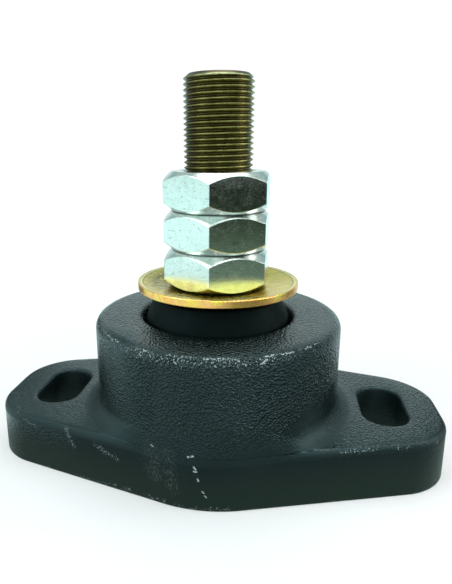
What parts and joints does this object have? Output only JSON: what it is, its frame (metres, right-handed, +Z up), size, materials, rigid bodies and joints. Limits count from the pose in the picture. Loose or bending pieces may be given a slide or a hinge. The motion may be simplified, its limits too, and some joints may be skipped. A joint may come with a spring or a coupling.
{
  "type": "rubber-metal anti-vibration mount",
  "caption": "Black cast base with a slotted foot at each end, holding a conical rubber isolator that carries a threaded stud with a dished washer and stacked hexagon nuts.",
  "frame": {"origin": "on the stud's axis, in the plane of the base's underside, in the middle of the base", "axes": "+X along the base's long side, +Y across the base with the slots' long way, +Z up the stud from the base"},
  "size_m": [0.1306, 0.071, 0.1072],
  "materials": {
    "black_casting": "semi-gloss black paint over a fine cast surface",
    "rubber": "matt moulded rubber",
    "yellow_zinc": "yellow zinc plate, slightly iridescent",
    "bright_zinc": "bright zinc plate",
    "stud_zinc": "olive zinc plate on a rolled thread",
    "plain_steel": "phosphated steel bonded to the rubber"
  },
  "bodies": {
    "mount_base": {"housing": "black_casting", "outer_sleeve": "plain_steel", "rubber_isolator": "rubber"},
    "stud_assembly": {"stud": "stud_zinc", "center_sleeve": "plain_steel", "snubbing_washer": "bright_zinc", "dished_washer": "yellow_zinc", "clamp_nut": "bright_zinc"},
    "adjusting_nut": {"lower_adjusting_nut": "bright_zinc"},
    "lock_nut": {"upper_lock_nut": "bright_zinc"}
  },
  "joints": [
    {"name": "isolator_deflection", "type": "slide", "parent": "mount_base", "child": "stud_assembly", "axis": [0, 0, 1], "range_m": [-0.003, 0.003], "stiffness_N_per_m": 300000, "deforming": ["rubber_isolator"]},
    {"name": "adjusting_nut_travel", "type": "slide", "parent": "stud_assembly", "child": "adjusting_nut", "axis": [0, 0, 1], "range_m": [0, 0.012]},
    {"name": "lock_nut_travel", "type": "slide", "parent": "adjusting_nut", "child": "lock_nut", "axis": [0, 0, 1], "range_m": [0, 0.011]}
  ]
}
